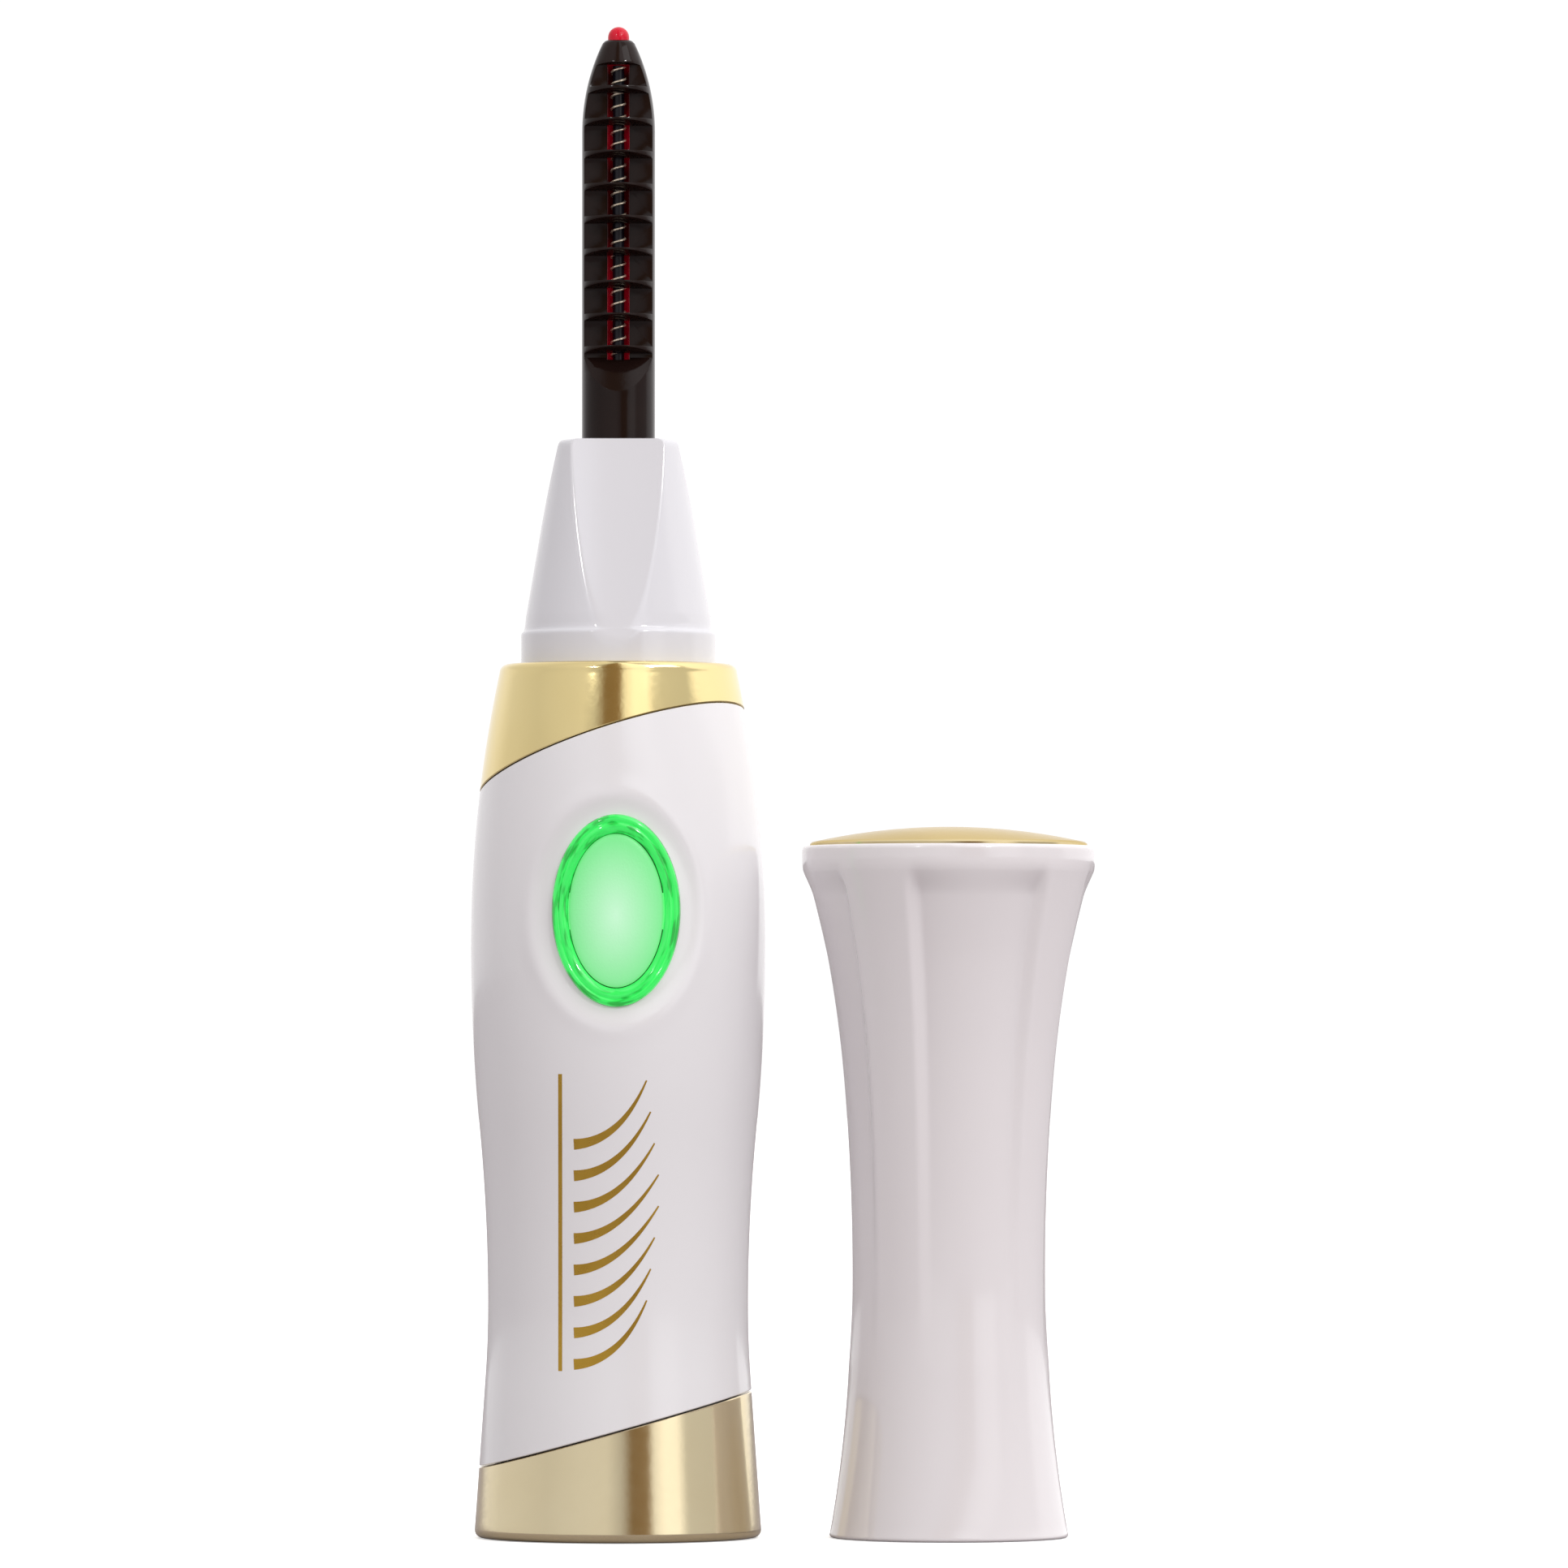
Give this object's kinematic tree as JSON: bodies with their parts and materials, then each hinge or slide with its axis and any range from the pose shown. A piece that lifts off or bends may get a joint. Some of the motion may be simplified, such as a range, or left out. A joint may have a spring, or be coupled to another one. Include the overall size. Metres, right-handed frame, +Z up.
{
  "type": "heated eyelash curler",
  "caption": "Pen-shaped heated eyelash curler: waisted handle with an oval lit button, finned comb on a scalloped cone, and its fluted cap standing beside it.",
  "frame": {"origin": "centre of the flat underside of the curler's base, on the surface it stands on", "axes": "+Z up along the curler to the comb's tip, -Y the side with the button and the comb's open face, +X towards the cap that stands beside it"},
  "size_m": [0.0554, 0.0261, 0.134],
  "materials": {
    "gold_plating": "polished champagne-gold plating on moulded plastic",
    "white_gloss": "polished",
    "black_gloss": "polished, faintly brown",
    "red_liner": "translucent",
    "dark_ceramic": "fired, satin",
    "heater_wire": "drawn wire",
    "green_clear": "clear tinted moulding, lit from behind",
    "frosted_green": "frosted, lit from behind",
    "inner_moulding": "natural moulded",
    "nickel_strip": "nickel plated",
    "spring_steel": "drawn",
    "cell_sleeve": "plain printed sleeve, no lettering",
    "lead_insulation": "silicone insulation",
    "green_laminate": "solder mask",
    "chip_black": "moulded resin",
    "lamp_lens": "clear lens"
  },
  "bodies": {
    "base": {"base_cap": "gold_plating", "base_plug": "inner_moulding", "negative_contact": "nickel_strip", "battery_spring": "spring_steel", "battery": "cell_sleeve"},
    "handle": {"body_sleeve": "white_gloss", "collar_ring": "gold_plating", "nozzle": "white_gloss", "wand_holder": "inner_moulding", "comb_housing": "black_gloss", "heat_indicator": "red_liner", "heater_core": "dark_ceramic", "heater_coil": "heater_wire", "heater_leads": "lead_insulation", "chassis": "inner_moulding", "positive_contact": "nickel_strip", "contact_strip": "nickel_strip", "circuit_board": "green_laminate", "board_screws": "spring_steel", "board_components": "chip_black", "indicator_leds": "lamp_lens", "switch_base": "chip_black", "switch_cover": "nickel_strip", "light_ring": "green_clear"},
    "power_button": {"power_button": "frosted_green"},
    "switch_plunger": {"switch_plunger": "chip_black"},
    "cap": {"cap_shell": "white_gloss", "cap_liner": "inner_moulding", "cap_dome": "gold_plating"}
  },
  "joints": [
    {"name": "handle_pull", "type": "slide", "parent": "base", "child": "handle", "axis": [0, 0, 1], "range_m": [0, 0.06]},
    {"name": "button_press", "type": "slide", "parent": "handle", "child": "power_button", "axis": [0, 1, 0], "range_m": [0, 0.00045], "stiffness_N_per_m": 2000, "springref_m": -0.0005},
    {"name": "plunger_press", "type": "slide", "parent": "handle", "child": "switch_plunger", "axis": [0, 1, 0], "range_m": [0, 0.00045]},
    {"name": "cap_lift", "type": "slide", "parent": "base", "child": "cap", "axis": [0, 0, 1], "range_m": [0, 0.14]}
  ],
  "couplings": [
    {"joint": "plunger_press", "follows": "button_press", "ratio": 1}
  ]
}
